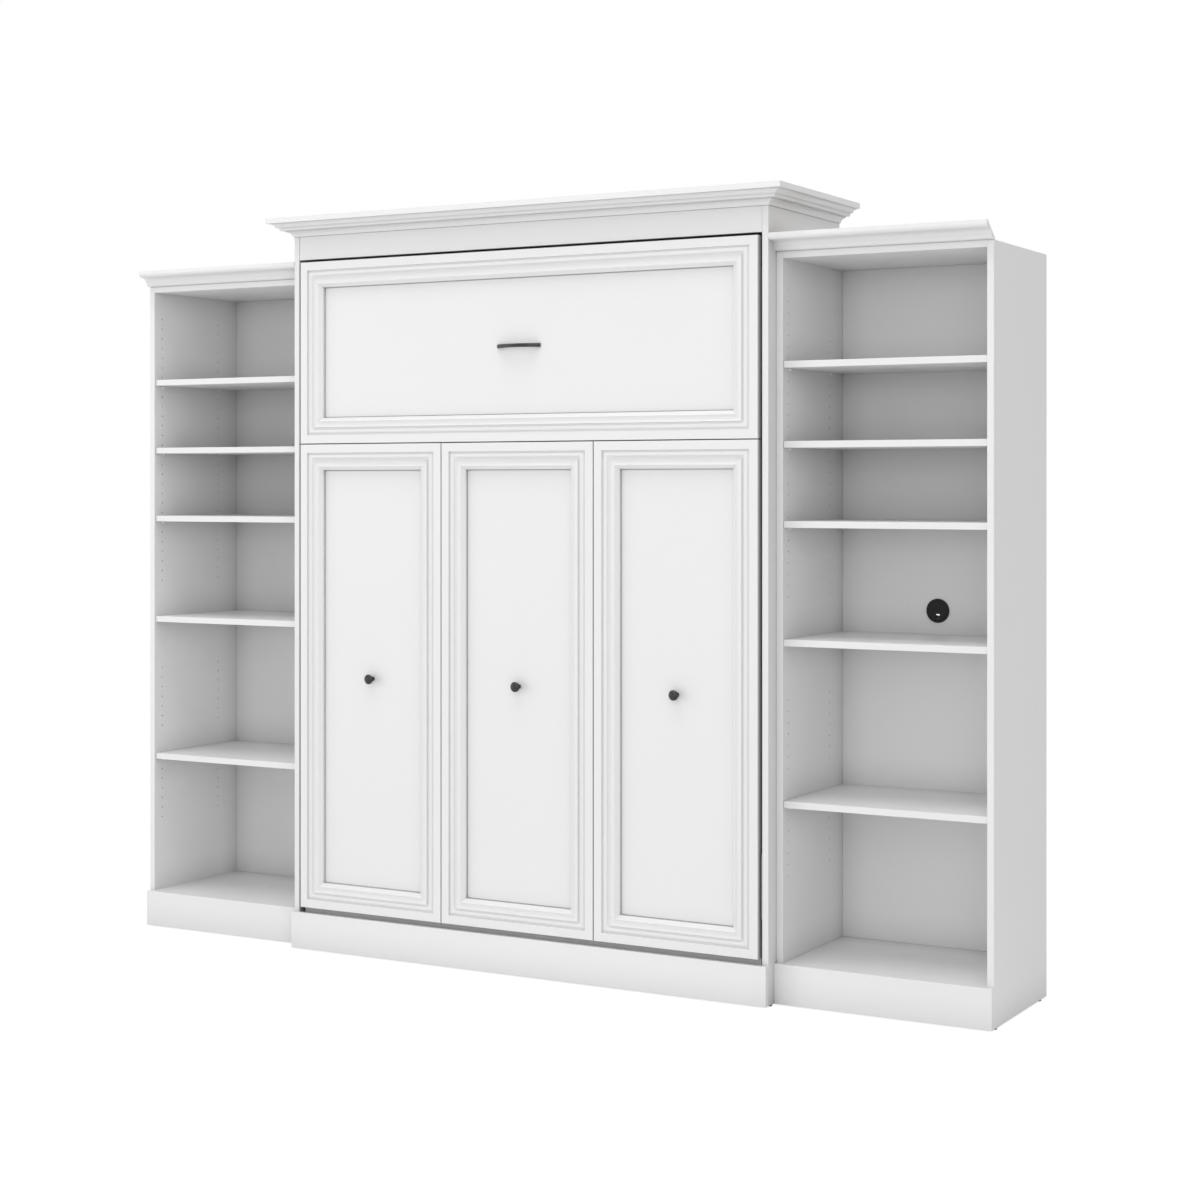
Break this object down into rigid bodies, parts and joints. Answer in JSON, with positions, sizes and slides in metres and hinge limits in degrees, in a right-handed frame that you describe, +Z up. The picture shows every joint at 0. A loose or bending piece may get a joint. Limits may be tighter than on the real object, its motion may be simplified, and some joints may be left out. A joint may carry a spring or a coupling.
{
  "type": "wall bed with bookcases",
  "caption": "White wall bed cabinet with crown moulding and framed fronts that folds down on a leg, between matching open bookcases with adjustable shelves.",
  "frame": {"origin": "middle of the width, on the wall plane, at floor level", "axes": "+X to the right of someone facing the bed, +Y into the wall, +Z up"},
  "size_m": [2.908, 0.566, 2.288],
  "materials": {
    "white_laminate": "satin white laminate on board",
    "black_metal": "satin black coating",
    "black_plastic": "moulded black, glossy",
    "frame_steel": "grey powder coat",
    "rod_chrome": "ground and plated",
    "pin_plastic": "moulded white",
    "slat_wood": "bare pale timber",
    "mattress_fabric": "quilted woven ticking",
    "bush_plastic": "moulded bearing plastic"
  },
  "bodies": {
    "cabinet": {"adjustable_shelves_left": "white_laminate", "adjustable_shelves_right": "white_laminate", "bed_backs": "white_laminate", "bed_crown_front": "white_laminate", "bed_crown_returns": "white_laminate", "bed_header": "white_laminate", "bed_plinth": "white_laminate", "bed_side_left": "white_laminate", "bed_side_right": "white_laminate", "bed_top": "white_laminate", "bookcase_back_left": "white_laminate", "bookcase_back_right": "white_laminate", "bookcase_bottom_left": "white_laminate", "bookcase_bottom_right": "white_laminate", "bookcase_crown_left": "white_laminate", "bookcase_crown_right": "white_laminate", "bookcase_inner_side_left": "white_laminate", "bookcase_inner_side_right": "white_laminate", "bookcase_outer_side_left": "white_laminate", "bookcase_outer_side_right": "white_laminate", "bookcase_plinth_left": "white_laminate", "bookcase_plinth_right": "white_laminate", "bookcase_top_left": "white_laminate", "bookcase_top_right": "white_laminate", "crown_blocks": "slat_wood", "fixed_shelves": "white_laminate", "floor_glides": "black_plastic", "grommet_rings": "black_plastic", "headboard": "white_laminate", "lower_rail": "white_laminate", "pivot_plates": "frame_steel", "shelf_pins": "pin_plastic", "strut_studs": "frame_steel", "wall_rail": "white_laminate"},
    "bed": {"door_centre_frame": "white_laminate", "door_centre_panel": "white_laminate", "door_knobs": "black_metal", "door_left_frame": "white_laminate", "door_left_panel": "white_laminate", "door_right_frame": "white_laminate", "door_right_panel": "white_laminate", "top_front_frame": "white_laminate", "top_front_panel": "white_laminate", "bow_pull": "black_metal", "head_beam": "white_laminate", "side_rails": "frame_steel", "cross_rails": "frame_steel", "slats": "slat_wood", "mattress": "mattress_fabric", "arm_plates": "frame_steel", "pivot_bushes": "bush_plastic", "leg_brackets": "frame_steel"},
    "leg": {"leg_arms": "frame_steel", "leg_cross_bar": "frame_steel"},
    "left_cylinder": {"strut_cylinder_left": "black_metal"},
    "left_rod": {"strut_rod_left": "rod_chrome"},
    "left_cap": {"grommet_cap_left": "black_plastic"},
    "right_cylinder": {"strut_cylinder_right": "black_metal"},
    "right_rod": {"strut_rod_right": "rod_chrome"},
    "right_cap": {"grommet_cap_right": "black_plastic"}
  },
  "joints": [
    {"name": "bed_fold", "type": "hinge", "parent": "cabinet", "child": "bed", "pos_m": [0, -0.461, 0.334], "axis": [1, 0, 0], "range_deg": [0, 90]},
    {"name": "leg_fold", "type": "hinge", "parent": "bed", "child": "leg", "pos_m": [0, -0.351, 2.133], "axis": [1, 0, 0], "range_deg": [0, 229]},
    {"name": "strut_swing_left", "type": "hinge", "parent": "cabinet", "child": "left_cylinder", "pos_m": [-0.787, -0.301, 0.894], "axis": [1, 0, 0], "range_deg": [-0.9, 0]},
    {"name": "strut_slide_left", "type": "slide", "parent": "left_cylinder", "child": "left_rod", "axis": [0, 0.1741, 0.9847], "range_m": [0, 0.1126]},
    {"name": "strut_swing_right", "type": "hinge", "parent": "cabinet", "child": "right_cylinder", "pos_m": [0.787, -0.301, 0.894], "axis": [1, 0, 0], "range_deg": [-0.9, 0]},
    {"name": "strut_slide_right", "type": "slide", "parent": "right_cylinder", "child": "right_rod", "axis": [0, 0.1741, 0.9847], "range_m": [0, 0.1126]},
    {"name": "grommet_turn_left", "type": "hinge", "parent": "cabinet", "child": "left_cap", "pos_m": [-1.1365, -0.0216, 1.089], "axis": [0, 1, 0], "range_deg": [-180, 180]},
    {"name": "grommet_turn_right", "type": "hinge", "parent": "cabinet", "child": "right_cap", "pos_m": [1.1365, -0.0216, 1.089], "axis": [0, 1, 0], "range_deg": [-180, 180]}
  ],
  "couplings": [
    {"joint": "leg_fold", "follows": "bed_fold", "ratio": 2.5427},
    {"joint": "strut_swing_left", "follows": "bed_fold", "ratio": -0.0094244},
    {"joint": "strut_slide_left", "follows": "bed_fold", "m_per_rad": 0.071506},
    {"joint": "strut_swing_right", "follows": "bed_fold", "ratio": -0.0094244},
    {"joint": "strut_slide_right", "follows": "bed_fold", "m_per_rad": 0.071506}
  ]
}
